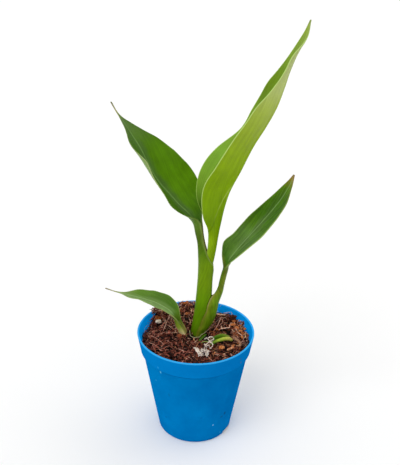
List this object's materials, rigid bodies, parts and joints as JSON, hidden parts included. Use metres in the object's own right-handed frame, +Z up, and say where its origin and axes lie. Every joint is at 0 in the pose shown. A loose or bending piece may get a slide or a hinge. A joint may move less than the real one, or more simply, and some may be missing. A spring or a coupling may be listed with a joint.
{
  "type": "potted bird of paradise",
  "caption": "Young bird of paradise plant with a fan of broad leaves on clasping stems, growing in a small tapered plastic nursery pot of coir mix.",
  "frame": {"origin": "centre of the pot's flat underside", "axes": "+Z up along the pot's axis, -Y towards the front that the picture shows, +X to the right of that view"},
  "size_m": [0.0967, 0.0643, 0.2105],
  "materials": {
    "pot": "satin",
    "soil": "matte",
    "tall_leaf": "satin",
    "left_leaf": "satin",
    "right_leaf": "satin",
    "low_leaf": "satin",
    "old_leaf_stub": "satin",
    "white_rootlets": "matte",
    "pale_root": "matte",
    "perlite_grain": "matte"
  },
  "bodies": {
    "root": {"pot": "pot", "soil": "soil", "tall_leaf": "tall_leaf", "left_leaf": "left_leaf", "right_leaf": "right_leaf", "low_leaf": "low_leaf", "old_leaf_stub": "old_leaf_stub", "white_rootlets": "white_rootlets", "pale_root": "pale_root", "perlite_grain": "perlite_grain"}
  },
  "joints": []
}
